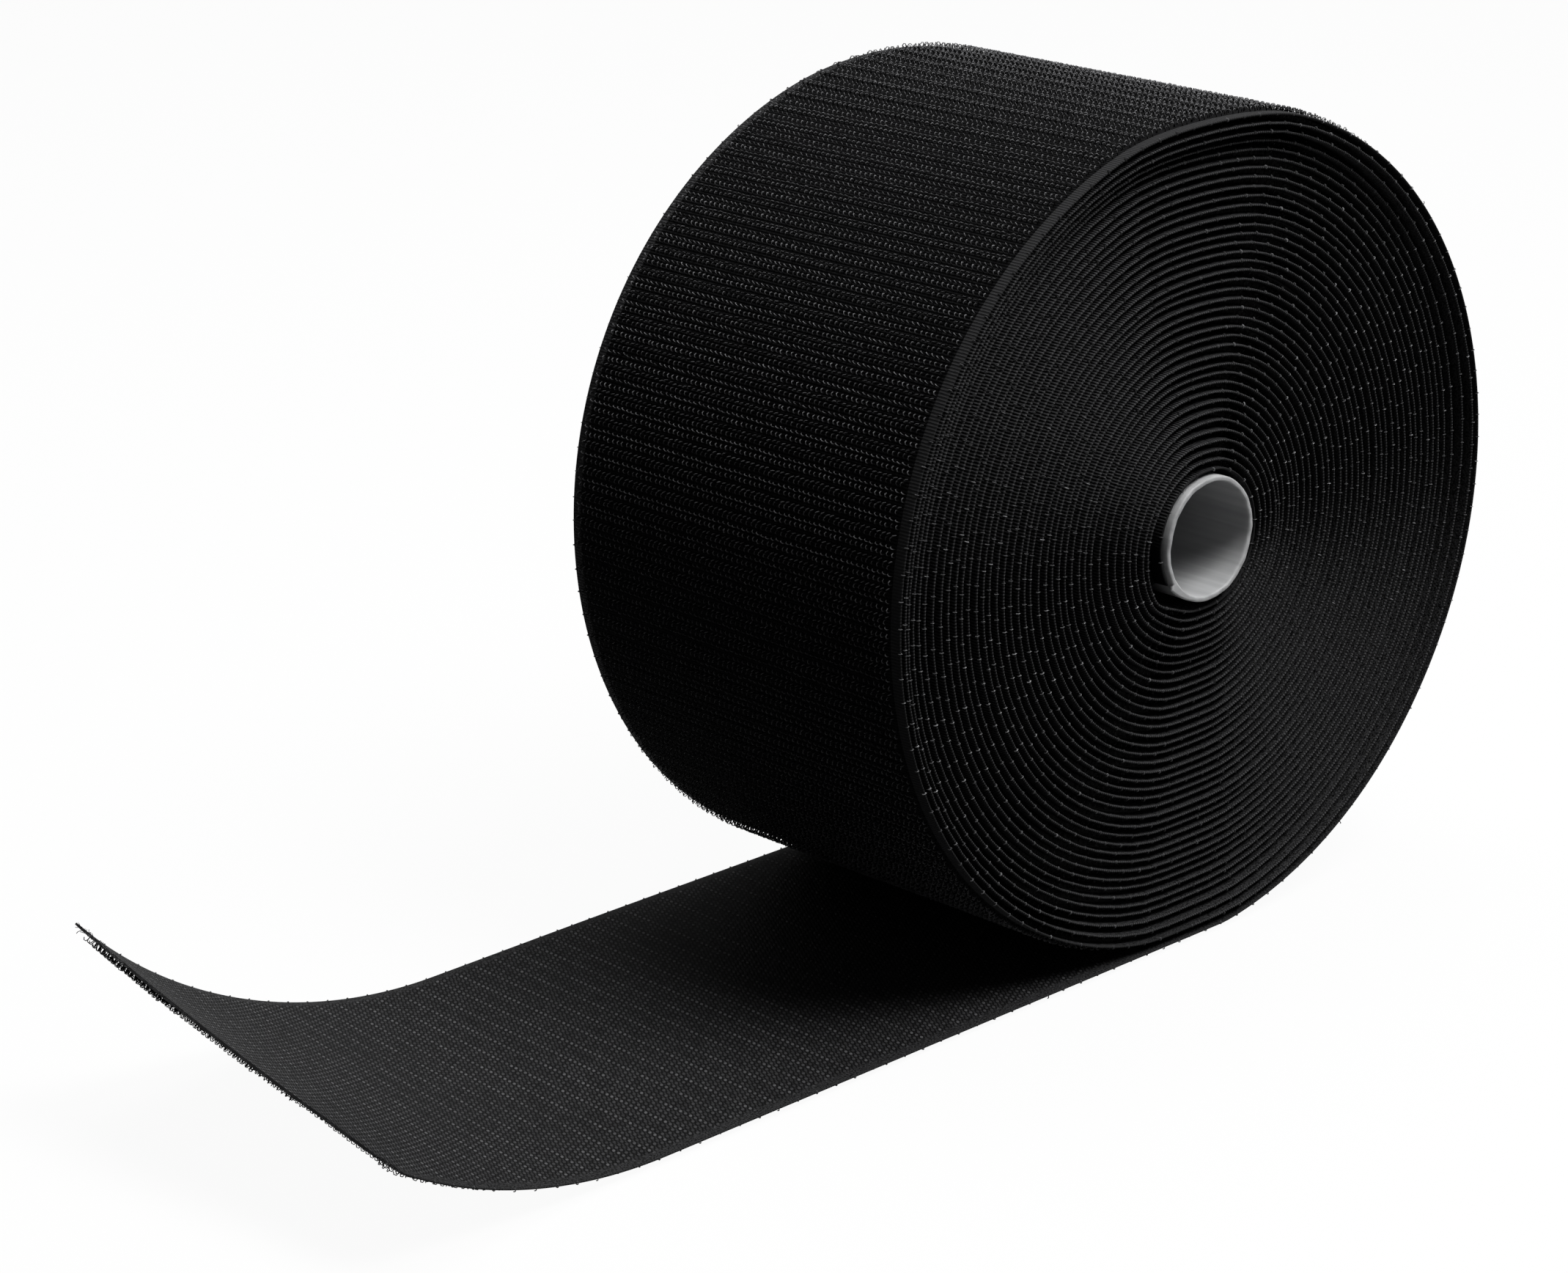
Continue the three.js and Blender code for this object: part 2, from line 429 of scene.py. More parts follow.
@dataclass(frozen=True)
class HookFilament:
    """Black monofilament of the hooks and edge stitches, with painted highlights on the hook crowns and a few
    stitches, and painted shade at the hook roots.
    """

    name: str = "hook_filament"
    deep: Colour = (0.002, 0.002, 0.0021)
    # painted highlight: the colour of lit hook crowns and glinting stitches
    worked: Colour = (0.16, 0.16, 0.165)
    roughness: float = 0.36
    gloss: float = 0.015

    def material(self) -> Material:
        """The hook's shade attribute carries painted highlights and painted shade. It mixes two blacks, with
        a fine scatter along each filament.

        Returns:
            The finish.
        """
        g = Graph(self.name)
        shade = g.add("ShaderNodeAttribute", {}, attribute_name="shade").outputs["Fac"]
        scatter = g.step(g.noise(1500.0, 1.0), 0.3, 0.7, 0.75, 1.15)
        return g.finish(
            Base_Color=g.mixed(g.times(shade, scatter), self.deep, self.worked),
            Roughness=self.roughness,
            Specular_IOR_Level=self.gloss,
        )


@dataclass(frozen=True)
class MilkyTube:
    """Milky extruded plastic with faint lengthwise draw lines."""

    pale: Colour = (0.42, 0.423, 0.427)
    dull: Colour = (0.31, 0.313, 0.317)

    def material(self) -> Material:
        """Noise stretched along the tube makes the draw lines.

        Returns:
            The finish.
        """
        g = Graph("milky_tube")
        lines = g.noise(420.0, 3.0, (1.0, 0.03, 1.0))
        cloudy = g.plus(g.times(lines, 0.6), g.times(g.noise(60.0, 2.0), 0.4))
        return g.finish(
            Base_Color=g.mixed(g.step(cloudy, 0.35, 0.65, 0.0, 1.0), self.dull, self.pale),
            Roughness=g.step(lines, 0.3, 0.7, 0.36, 0.5),
            Specular_IOR_Level=0.2,
            Subsurface_Weight=0.15,
            Subsurface_Radius=(0.003, 0.003, 0.003),
            Subsurface_Scale=1.0,
            Normal=g.bump(lines, 0.00004, 0.5),
        )


@dataclass(frozen=True)
class TapePath:
    """The line that the whole tape follows, by its length from under the axis, below zero in the roll."""

    width: float = 100.0
    ground: float = 0.6
    hook_height: float = 1.15
    pitch: float = 2.05
    start_radius: float = 14.4
    end_radius: float = 94.057
    turns: float = 1088 / 28 - 0.5 / 28
    sag: float = 0.012
    slide: float = 3.0
    axis_height: float = 94.1
    curl_start: float = 159.1
    curl_slant: float = math.radians(12.2)
    curl_radius: float = 117.0
    cut_length: float = 240.7
    cut_skew: float = 12.6
    tuck_angle: float = math.radians(213.0)
    tuck_height: float = 2.6
    slump_angle: float = math.radians(243.0)
    uneven: Waves = ((0.09, 3.0, 0.5, 0.0), (0.06, 5.0, -0.8, 0.0), (0.05, 7.0, 1.7, 0.0))
    wander: Waves = ((0.15, 1.0, 1.3, 0.0), (0.12, 2.0, 2.1, 1.0))

    def run_at(self, turn: Array) -> Array:
        """Spiral length: two pi times (first radius times turns plus half the pitch times turns squared)."""
        return TURN * (self.start_radius * turn + 0.5 * self.pitch * turn * turn)

    @property
    def wound_length(self) -> float:
        """Length of all the turns."""
        return self.run_at(self.turns)

    def length_at(self, turn: Array) -> Array:
        """The length at a turn counted from the tape's start, below zero in the roll."""
        return self.run_at(turn) - self.wound_length

    def rearward(self, across: Array) -> Array:
        """0 at the front edge, easing to 1 at the rear."""
        return ease((across + 0.5 * self.width) / self.width)

    def cut_at(self, across: Array) -> Array:
        """The length at which the skewed cut ends the tape, by the place across it."""
        corner = 1.4 * np.exp(-(((across + 43.0) / 14.0) ** 2))
        return self.cut_length - self.cut_skew * (0.5 - across / self.width) + corner

    def wound(self, length: Array, across: Array) -> Array:
        """A point of the tape's inner face in the roll.

        The turn comes from the length by the root of a quadratic. The radius grows by the pitch each turn,
        the roll is settled a little wider than tall, flat on top and at its foot, and each turn wanders.
        The turns over the tape's start stand off there, and the outer ones slump at the rear.
        All but the first and last few turns have slid back along the axis, so the near face is dished.

        Args:
            length: lengths, zero or less.
            across: places across the tape.

        Returns:
            Points in millimetres.
        """
        run = np.maximum(self.wound_length + length, 0.0) / TURN
        t = (np.sqrt(self.start_radius**2 + 2.0 * self.pitch * run) - self.start_radius) / self.pitch
        a = -0.25 * TURN + (self.turns - t) * TURN
        r = self.start_radius + self.pitch * t
        out = r / self.end_radius
        rear = self.rearward(across)
        free = ease(-length / 90.0)
        loose = free * ease(t / 3.0)
        past = (a - self.tuck_angle + math.pi) % TURN - math.pi
        spread = np.where(past > 0.0, 0.3, 1.22)
        tuck = self.tuck_height * np.exp(-((past / spread) ** 2) - (t - 1.0) / 2.5) * ease((t - 0.55) / 0.4)
        slump = (0.4 + 1.2 * rear) * out**3 * np.exp(9.0 * (np.cos(a - self.slump_angle) - 1.0))
        settled = r * (1.0 + self.sag * out * np.cos(2.0 * a))
        settled = settled + waves(self.uneven, a, t) * loose + tuck + slump * free
        flat_top = 0.0125 * (1.0 - 0.8 * rear) * np.maximum((np.sin(a) - 0.95) / 0.05, 0.0) ** 2
        foot = self.hook_height + self.ground + (self.turns - t) * self.pitch * 0.982
        clear = self.axis_height + settled * (np.sin(a) - flat_top) - foot
        z = foot + 0.5 * (clear + np.sqrt(clear**2 + (0.6 * ease(-length / 60.0)) ** 2))
        slid = self.slide * ease((self.turns - t - 0.6) / 4.0) * ease((t - 0.3) / 10.0)
        return np.stack([settled * np.cos(a), across + waves(self.wander, a, t) * loose + slid, z], axis=-1)

    def laid(self, length: Array, across: Array) -> Array:
        """A point of the loose end's upper face: flat, then rolled up round a cylinder past a slanted crease.

        Args:
            length: lengths, zero or more.
            across: places across the tape.

        Returns:
            Points in millimetres.
        """
        cos, sin = math.cos(self.curl_slant), math.sin(self.curl_slant)
        past = (length - self.curl_start) * cos + (across + 0.5 * self.width) * sin
        turn = np.maximum(past, 0.0) / self.curl_radius
        drawn = self.curl_radius * (turn - np.sin(turn))
        lifted = 0.35 * self.rearward(across) * ease(length / 30.0) * ease((150.0 - length) / 70.0)
        z = self.hook_height + self.ground + (self.curl_radius * (1.0 - np.cos(turn)) + lifted)
        return np.stack([-length + drawn * cos, across - drawn * sin, z], axis=-1)

    def base(self, length: Array, across: Array) -> Array:
        """A point of the tape's back at any length: in the roll below zero, else on the loose end."""
        inside = self.wound(np.minimum(length, 0.0), across)
        return np.where((length < 0.0)[..., None], inside, self.laid(np.maximum(length, 0.0), across))

    def frame(self, length: Array, across: Array) -> tuple[Array, Array, Array]:
        """Directions along, across and out to the hook side, from differences of the base.

        Args:
            length: lengths.
            across: places across the tape.

        Returns:
            Three arrays of unit vectors.
        """
        along = unit(self.base(length + 0.3, across) - self.base(length - 0.3, across))
        over = unit(self.base(length, across + 0.3) - self.base(length, across - 0.3))
        return along, over, unit(np.cross(along, over))

    def point(self, length: Array, across: Array, lift: Array) -> Array:
        """A point at a lift above the tape's back, towards the hooks."""
        return self.base(length, across) + np.asarray(lift)[..., None] * self.frame(length, across)[2]


@dataclass(frozen=True)
class Ground:
    """The woven ground: a thin strip with rounded edges, carried along the path."""

    path: TapePath
    columns: int = 12
    selvedge: float = 2.6
    rounding: float = 0.26

    def section(self) -> tuple[Array, Array, Array]:
        """The closed outline of the tape's end: back from front to rear, then hook side; half-round edges.

        Returns:
            Places across, lifts, and the face of each stretch to the next point.
        """
        half, thick, bend = 0.5 * self.path.width, self.path.ground, self.rounding
        arc = np.radians([-18.0, -54.0, -90.0])
        inner = np.linspace(-(half - self.selvedge), half - self.selvedge, self.columns)
        front = -(half - bend + bend * np.cos(arc))
        dip = 0.5 * thick + 0.92 * bend * np.sin(arc)
        chain = np.concatenate([front, inner, -front[::-1]])
        low = np.concatenate([dip, np.zeros(self.columns), dip[::-1]])
        across = np.concatenate([chain, chain[::-1]])
        lift = np.concatenate([low, thick - low[::-1]])
        face = np.full(len(across), Face.EDGE.value)
        start = len(chain)
        face[2 : 3 + self.columns] = Face.BACK.value
        face[start + 2 : start + 3 + self.columns] = Face.SELVEDGE.value
        face[start + 3 : start + 2 + self.columns] = Face.HOOK_SIDE.value
        return across, lift, face

    def surface(self, lengths: Array, bands: int) -> Surface:
        """Carries the section along the tape and closes both ends.

        Args:
            lengths: lengths of each station, one column or one for each point of the section.
            bands: rows in which the bake layout lays the strip.

        Returns:
            The strip.
        """
        across, lift, face = self.section()
        n, m = len(lengths), len(across)
        stations = np.broadcast_to(lengths if lengths.ndim == 2 else lengths[:, None], (n, m))
        points = self.path.point(stations, np.broadcast_to(across, (n, m)), np.broadcast_to(lift, (n, m)))
        rows, places, sides = ring_faces(n, m)
        b = np.arange(m // 2 - 1)
        cap = np.stack([b, b + 1, m - 2 - b, m - 1 - b], axis=-1)
        quads = np.concatenate([sides, cap[:, ::-1], cap + (n - 1) * m])
        from_front = np.broadcast_to(across + 0.5 * self.path.width, (n, m))
        tape = np.stack([stations, from_front], axis=-1).reshape(-1, 2) / UV_LENGTH
        band, size = rows[..., :1] * bands // (n - 1), (n - 1) / bands
        u = 0.005 + 0.99 * np.clip((rows - band * (n - 1) / bands) / size, 0.0, 1.0)
        broad = np.abs(np.roll(across, -1) - across) > 20.0
        weight = np.where(broad, 0.15, 1.0)
        rung = np.concatenate([[0.0], np.cumsum(weight)]) / weight.sum()
        v = (band + 0.04 + 0.92 * rung[places]) / bands * 0.98
        bake = np.stack([u, v], axis=-1).reshape(-1, 2)
        ends = 8 * len(cap)
        bake_ends = np.full((ends, 2), 0.99) + 0.002 * (np.arange(ends) % 2)[:, None]
        slots = np.concatenate([face[places[..., 0]].ravel(), np.full(2 * len(cap), Face.EDGE.value)])
        uvs = {"tape": tape[quads.ravel()], "OFBake": np.concatenate([bake, bake_ends])}
        return Surface(points.reshape(-1, 3), quads, uvs=uvs, slots=slots).turned_out()


@dataclass(frozen=True)
class Filament:
    """A short bent filament: a three-sided tube along (bend, height) points, toned along it by painted light.
    """

    bend: tuple[float, ...]
    height: tuple[float, ...]
    radius: float = 0.13
    # painted light along the tube: low at the root as painted shade, high at the crown as painted highlight
    painted_light: tuple[float, ...] = ()
    sides: int = 3

    def tube(self) -> tuple[Array, Array, Array]:
        """Rings of points square to the path, joined by quads and closed at both ends.

        Returns:
            Points as (bend, side, height), quads and triangles.
        """
        s = self.sides
        line = np.stack([self.bend, self.height], axis=-1)
        way = unit(np.gradient(line, axis=0))
        turn = TURN * (np.arange(s) + 0.5) / s
        out = np.stack([way[:, 1], -way[:, 0]], axis=-1)
        flat = line[:, None, :] + self.radius * np.cos(turn)[None, :, None] * out[:, None, :]
        side = np.broadcast_to(self.radius * np.sin(turn), flat.shape[:2])
        points = np.stack([flat[..., 0], side, flat[..., 1]], axis=-1).reshape(-1, 3)
        fan = np.stack([np.zeros(s - 2, int), np.arange(1, s - 1), np.arange(2, s)], axis=-1)
        caps = np.concatenate([fan[:, ::-1], fan + (len(line) - 1) * s])
        return points, ring_faces(len(line), s)[2], caps

    def planted(
        self, roots: Array, bend: Array, side: Array, up: Array, size: Array, shade: Array
    ) -> Surface:
        """Sets one copy on every root: root plus size times (bend, side and height parts) of its frame.

        Args:
            roots: where each copy stands.
            bend: the direction that each copy bends to.
            side: the direction across each bend.
            up: the direction in which each copy stands.
            size: scale of each copy.
            shade: tone of each copy, 0 to 1.

        Returns:
            All copies as one surface, each in its own cell of the bake layout.
        """
        shape, quads, triangles = self.tube()
        n, m, s = len(roots), len(shape), self.sides
        axes = np.stack([bend, side, up], axis=1) * size[:, None, None]
        points = roots[:, None, :] + np.einsum("mk,nkd->nmd", shape, axes)
        offset = (np.arange(n) * m)[:, None, None]
        all_quads = (quads[None] + offset).reshape(-1, 4)
        all_triangles = (triangles[None] + offset).reshape(-1, 3)
        cells = math.ceil(math.sqrt(n))
        corner = np.stack([np.arange(n) % cells, np.arange(n) // cells], axis=-1)[:, None, :]
        spot = np.stack([(np.arange(m) % s) / s, (np.arange(m) // s) / (m // s)], axis=-1)
        cell = ((corner + 0.1 + 0.8 * spot[None]) / cells).reshape(-1, 2)
        uvs = {"OFBake": cell[np.concatenate([all_quads.ravel(), all_triangles.ravel()])]}
        # painted light along each copy, times the copy's own tone
        painted_light = np.repeat(np.array(self.painted_light or (1.0,) * (m // s)), s)
        values = {"shade": (shade[:, None] * painted_light[None, :]).ravel()}
        return Surface(points.reshape(-1, 3), all_quads, all_triangles, uvs, values).turned_out()


@dataclass(frozen=True)
class HookField:
    """The hooks of the tape: rows across it in groups of four, each row of a group turned another way."""

    path: TapePath
    # the last tuple of each shape is painted light along the hook: painted shade at the root, painted
    # highlight at the crown
    shape: Filament = Filament(
        (0.0, 0.0, 0.15, 0.6, 0.92), (-0.05, 0.5, 0.97, 1.04, 0.6), 0.115, (0.0, 0.1, 0.8, 1.0, 0.6)
    )
    slim: Filament = Filament((0.0, 0.12, 0.6), (-0.05, 0.85, 0.95), 0.12, (0.0, 0.7, 1.0))
    column_step: float = 1.47
    group: float = 5.5
    offsets: tuple[float, ...] = (-0.07, 1.64, 3.74, 4.14)
    shifts: tuple[float, ...] = (-0.09, -0.04, 0.79, 0.7)
    leans: tuple[float, ...] = (12.0, 58.0, 168.0, -58.0)
    # painted light: each kind of row, leaning its own way, gets its own brightness
    tones: tuple[float, ...] = (0.95, 0.78, 0.86, 0.8)
    reach: float = 47.1

    def rows(self, first: float, last: float) -> tuple[Array, Array]:
        """Lengths of the rows between two lengths, and their numbers.

        Args:
            first: where the rows start.
            last: where they stop.

        Returns:
            Lengths and whole numbers, counted from under the axis.
        """
        groups = np.arange(math.floor(first / self.group) - 1, math.ceil(last / self.group) + 1)[:, None]
        lengths = (groups * self.group + np.array(self.offsets)).ravel()
        numbers = (groups * len(self.offsets) + np.arange(len(self.offsets))).ravel()
        kept = (lengths >= first) & (lengths < last)
        return lengths[kept], numbers[kept]

    def stand(self, length: Array, across: Array, number: Array, shape: Filament, seed: int) -> Surface:
        """Plants hooks at places on the tape, each a little different, each row with its own lean and a
        painted-light tone for that lean, varied at random.

        Args:
            length: length of each hook along the tape.
            across: place of each hook across it.
            number: row number of each hook.
            shape: the hook's form.
            seed: start of the random numbers.

        Returns:
            The hooks.
        """
        chance = np.random.default_rng(seed)
        n = len(length)
        kind = number % len(self.leans)
        streak = 0.9 + 0.18 * np.sin(number * 1.7) * np.sin(number * 0.61 + 0.035 * across)
        row_tone = np.array(self.tones)[kind] * (streak * (0.93 + 0.1 * np.sin(number * 2.9)))
        drift = 0.1 * np.sin(number * 3.3 + 0.02 * across)
        length = length + drift + chance.normal(0.0, 0.03, n)
        across = across + chance.normal(0.0, 0.035, n)
        along, over, up = self.path.frame(length, across)
        roots = self.path.point(length, across, np.full(n, self.path.ground))
        lean = np.radians(np.array(self.leans))[kind] + chance.normal(0.0, 0.1, n)
        bend = along * np.cos(lean)[:, None] + over * np.sin(lean)[:, None]
        tilt = chance.normal(0.0, 0.06, (n, 2))
        up = unit(up + along * tilt[:, :1] + over * tilt[:, 1:])
        side = unit(np.cross(up, bend))
        size = np.clip(1.0 + 0.08 * (row_tone - 0.5) + chance.normal(0.0, 0.035, n), 0.85, 1.1)
        shade = np.clip(row_tone * (1.0 + chance.normal(0.0, 0.22, n)), 0.02, 1.0)
        return shape.planted(roots, np.cross(side, up), side, up, size, shade)

    def carpet(self, first: float, last: float, seed: int) -> Surface:
        """Full rows of hooks between two lengths, ended a little before the tape's skewed cut.

        Args:
            first: where the rows start.
            last: where they stop.
            seed: start of the random numbers.

        Returns:
            The rows.
        """
        lengths, numbers = self.rows(first, last)
        columns = np.arange(-self.reach, self.reach + 0.01, self.column_step)
        length, across = (g.ravel() for g in np.meshgrid(lengths, columns, indexing="ij"))
        number = np.repeat(numbers, len(columns))
        across = across + np.array(self.shifts)[number % len(self.shifts)]
        held_back = 0.4 + 2.4 * ease((24.0 - across) / 12.0) * ease((across + 46.0) / 8.0)
        kept = length < self.path.cut_at(across) - held_back
        return self.stand(length[kept], across[kept], number[kept], self.shape, seed)

    def fringe(self, first: float, last: float, edge: Edge, seed: int) -> Surface:
        """The hooks that show between wound turns: the outermost column beside one selvedge."""
        lengths, numbers = self.rows(first, last)
        return self.stand(lengths, np.full(len(lengths), edge.value * self.reach), numbers, self.slim, seed)


@dataclass(frozen=True)
class EdgeStitches:
    """Filament that turns round the tape's edge once in every group of rows."""

    path: TapePath
    step: float = 5.42
    shape: Filament = Filament((-0.55, -0.14, 0.08, 0.1, -0.3), (0.64, 0.64, 0.46, 0.12, -0.03), 0.13)

    def surface(self, first: float, last: float, edge: Edge, seed: int) -> Surface:
        """One small turn of filament over the edge at each step, most of them dark, a few bright as painted
        glints.

        Args:
            first: length of the first stitch.
            last: where they stop.
            edge: which edge of the tape.
            seed: start of the random numbers.

        Returns:
            The stitches.
        """
        chance = np.random.default_rng(seed)
        length = np.arange(first, last, self.step)
        n = len(length)
        length = length + chance.normal(0.0, 0.12, n)
        across = np.full(n, edge.value * 0.5 * self.path.width)
        along, over, up = self.path.frame(length, across)
        out = over * edge.value
        twist = chance.normal(0.0, 0.22, (n, 1))
        out, up = out * np.cos(twist) + up * np.sin(twist), up * np.cos(twist) - out * np.sin(twist)
        # painted glints: a few stitches are toned far brighter than the rest
        shade = 0.12 + 0.1 * chance.random(n) + 0.5 * chance.random(n) ** 12
        return self.shape.planted(self.path.base(length, across), out, along, up, np.ones(n), shade)


@dataclass(frozen=True)
class CoreTube:
    """The thin core tube with its rounded, slightly ragged rims and its catch fin."""

    radius: float = 14.0
    wall: float = 1.25
    length: float = 102.0
    axis_height: float = 94.1
    fin_angle: float = math.radians(218.2)
    fin_half: float = math.radians(4.5)
    fin_height: float = 1.23
    fin_pressed: float = 0.35
    uncovered: float = 1.3
    waver: Waves = ((0.1, 5.0, 0.0), (0.07, 11.0, 1.0), (0.05, 23.0, 2.0))

    def section(self) -> tuple[Array, Array, Array]:
        """The closed outline of the wall: the rear half from outside to inside, then the same at the front.

        Returns:
            Places along the axis, radii, and 1 on the outside or 0 on the inside.
        """
        half, outer, inner = 0.5 * self.length, self.radius, self.radius - self.wall
        bevel = np.array([0.0, 0.12, 0.35])
        fall = half - np.array([0.45, 0.12, 0.0])
        inset = half - self.uncovered
        y = np.concatenate([[0.0, inset], fall, [half, half], fall[::-1], [inset, 0.0]])
        edge = [outer - 0.55, inner + 0.5]
        r = np.concatenate([[outer, outer], outer - bevel, edge, inner + bevel[::-1], [inner, inner]])
        outside = np.repeat([1.0, 0.0], 6)
        back = slice(-2, 0, -1)
        return np.append(y, -y[back]), np.append(r, r[back]), np.append(outside, outside[back])

    def surface(self) -> Surface:
        """Carries the wall round the axis; the outer wall rises to the fin, the rims waver a little.

        The fin stands its full height where the tube is free, and is pressed down under the tape.

        Returns:
            The tube, closed both ways.
        """
        around = np.linspace(0.0, TURN, 128, endpoint=False)
        close = self.fin_angle + np.linspace(-1.0, 7.0, 41) * self.fin_half
        angle = np.unique(np.concatenate([around, close]))
        y, r, outside = self.section()
        off = (angle - self.fin_angle) / self.fin_half
        slope = np.clip(np.where(off < -0.6, (off + 1.0) / 0.4, (6.4 - off) / 7.0), 0.0, 1.0)
        from_end = np.abs(y) - 0.5 * self.length
        rim = np.clip((from_end + 0.6) / 0.6, 0.0, 1.0) * np.sign(y)
        free = np.clip((from_end + self.uncovered) / 0.85, 0.0, 1.0)
        rise = outside * (self.fin_pressed + (1.0 - self.fin_pressed) * free)
        radius = r + (self.fin_height * slope**1.3)[:, None] * rise
        place = y + waves(self.waver, angle)[:, None] * rim
        x, z = radius * np.cos(angle)[:, None], self.axis_height + radius * np.sin(angle)[:, None]
        points = np.stack([x, place, z], axis=-1).reshape(-1, 3)
        n, m = radius.shape
        rows, places, quads = ring_faces(n, m, closed=True)
        girth = np.hypot(np.diff(np.append(y, y[0])), np.diff(np.append(r, r[0])))
        rung = np.concatenate([[0.0], np.cumsum(girth)])
        layout = np.stack([rows / n, rung[places] / rung[-1]], axis=-1).reshape(-1, 2)
        uvs = {"OFBake": layout * 0.98 + 0.01}
        return Surface(points, quads, uvs=uvs).turned_out()


@dataclass(frozen=True)
class Finishes:
    """The finishes of the whole object, made once."""

    wound: list[Material]
    outside: list[Material]
    hooks: Material
    stitches: Material
    tube: Material

    @classmethod
    def made(cls, path: TapePath) -> "Finishes":
        """Makes every finish; the ground's are in the order of its faces, for wound turns and the outside.
        The wound copies differ from the outside ones by painted light: a darker hook side as painted shade, a
        brighter back border, ribbed selvedge and edge, and the edge kept dark over the first turn as painted
        shade.

        Args:
            path: the tape, for the length at which it starts.

        Returns:
            The finishes.
        """
        # painted sheen: the grey of the outer rim and the tape edges, lighter than the black yarn
        start, border_sheen = -path.wound_length, (0.018, 0.018, 0.0185)
        rim = RibbedBorder("outer_border", border_sheen, (0.028, 0.028, 0.0288)).material()
        wound = [
            WovenBack("wound_back", 0.42).material(),
            # painted shade: the wound hook side is darker than the open one, for the shade between the turns
            HookSideGround("wound_hook_side", (0.0006, 0.0006, 0.0007), (0.005, 0.005, 0.0053)).material(),
            RibbedBorder("ribbed_selvedge", (0.002, 0.002, 0.0021), (0.055, 0.055, 0.057), start).material(),
            RibbedBorder("wound_edge", border_sheen, (0.07, 0.07, 0.072), start + 75.0).material(),
        ]
        outside = [
            WovenBack().material(),
            HookSideGround("open_hook_side", (0.0013, 0.0013, 0.0014), (0.011, 0.011, 0.0114)).material(),
            rim,
            rim,
        ]
        stitches = HookFilament("edge_filament", worked=(0.34, 0.34, 0.35), roughness=0.22, gloss=0.12)
        return cls(wound, outside, HookFilament().material(), stitches.material(), MilkyTube().material())


@dataclass
class Roll:
    """The wound roll: core tube, winding, outermost turn and its hooks."""

    path: TapePath
    finishes: Finishes
    turn_steps: int = 72
    hook_sectors: int = 6
    lead_out: float = 4.0

    def settle(self, piece: Piece, slot: str, *nodes: str) -> Piece:
        """Lets a piece ride on the roll in place of its solids.

        Args:
            piece: the piece.
            slot: not used.
            nodes: the solids that it replaces.

        Returns:
            The piece.
        """
        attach(piece, "roll")
        if nodes:
            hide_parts(*nodes)
        return piece

    def core(self) -> None:
        """Makes the core tube."""
        self.settle(CoreTube().surface().piece("core", [self.finishes.tube]), "core", "core_tube")

    def winding(self) -> None:
        """Makes all wound turns but the last, with the hooks that show between them at both end faces."""
        path, hook, stitch = self.path, [self.finishes.hooks], [self.finishes.stitches]
        turns = path.turns - 1.0
        begin, stop = -path.wound_length, path.length_at(turns)
        t = np.linspace(0.0, turns, int(turns * self.turn_steps) + 1)
        strip = Ground(path, columns=2).surface(path.length_at(t), 38).piece("winding", self.finishes.wound)
        made = self.settle(strip, "tape_ground", "winding_inner", "winding_outer")
        extras = [self.settle(self.pile(t).piece("winding_pile", hook, smooth=False), "hooks")]
        for edge in Edge:
            name = edge.name.lower()
            hooks = HookField(path).fringe(begin + 4.0, stop, edge, 20 + edge.value)
            extras.append(self.settle(hooks.piece(f"winding_hooks_{name}", hook), "hooks"))
            stitches = EdgeStitches(path).surface(begin + 6.0, 2.0, edge, 40 + edge.value)
            extras.append(self.settle(stitches.piece(f"edge_stitches_{name}", stitch, smooth=False), "hooks"))

    def pile(self, turns: Array) -> Surface:
        """The matted hooks deep between the turns, toned nearly black as painted shade: one strip from each
        turn's ground to the next one's back.

        Args:
            turns: stations along the tape, in turns from its start.

        Returns:
            The strip.
        """
        path = self.path
        n, m = len(turns), 4
        across = np.broadcast_to([-46.6, 46.6], (n, 2))
        here = np.broadcast_to(path.length_at(turns)[:, None], (n, 2))
        low = path.point(here, across, np.full((n, 2), 0.62))
        high = path.base(path.length_at(turns + 1.0)[:, None], across)
        points = np.concatenate([low, (low + 0.97 * (high - low))[:, ::-1]], axis=1)
        caps = np.array([[3, 2, 1, 0], [0, 1, 2, 3]]) + np.array([[0], [(n - 1) * m]])
        number = np.arange(n * m)
        # painted shade: a very low tone for the shade deep in the gaps between turns
        values = {"shade": 0.012 + 0.012 * np.sin(number * 0.9) * np.sin(number * 0.37)}
        quads = np.concatenate([ring_faces(n, m)[2], caps])
        return Surface(points.reshape(-1, 3), quads, values=values).turned_out()

    def outer_turn(self) -> None:
        """Makes the last turn with the flat lead-out, and its hooks in sectors."""
        path = self.path
        start, stop = path.length_at(path.turns - 1.0), self.lead_out
        strip = Ground(path).surface(np.linspace(start, stop, 301), 3)
        piece = strip.piece("outer_turn_ground", self.finishes.outside)
        made = self.settle(piece, "tape_ground", "outer_turn")
        bounds = np.linspace(start + 14.0, stop, self.hook_sectors + 1)
        for number, (first, last) in enumerate(zip(bounds[:-1], bounds[1:]), 1):
            hooks = HookField(path).carpet(float(first), float(last), 100 + number)
            sector = hooks.piece(f"outer_hooks_{number}", [self.finishes.hooks])
            self.settle(sector, "hooks", "outer_turn_hooks")


@dataclass(frozen=True)
class Stretch:
    """One stretch of the loose end between two lengths, with the bodies and bend line listed for it."""

    name: str
    first: float
    last: float
    before: str
    after: str
    bend_start: float
    bend_end: float
    nodes: tuple[str, ...]


STRETCHES = (
    Stretch("loose_root", 4.0, 42.0, "roll", "tail_root", 6.0, 22.0, ("tail_root",)),
    Stretch("loose_middle", 42.0, 100.0, "tail_root", "tail_mid", 58.0, 82.0, ("tail_root", "tail_mid")),
    Stretch("loose_tip", 100.0, 240.7, "tail_mid", "tail_tip", 118.0, 142.0, ("tail_mid", "tail_tip")),
)


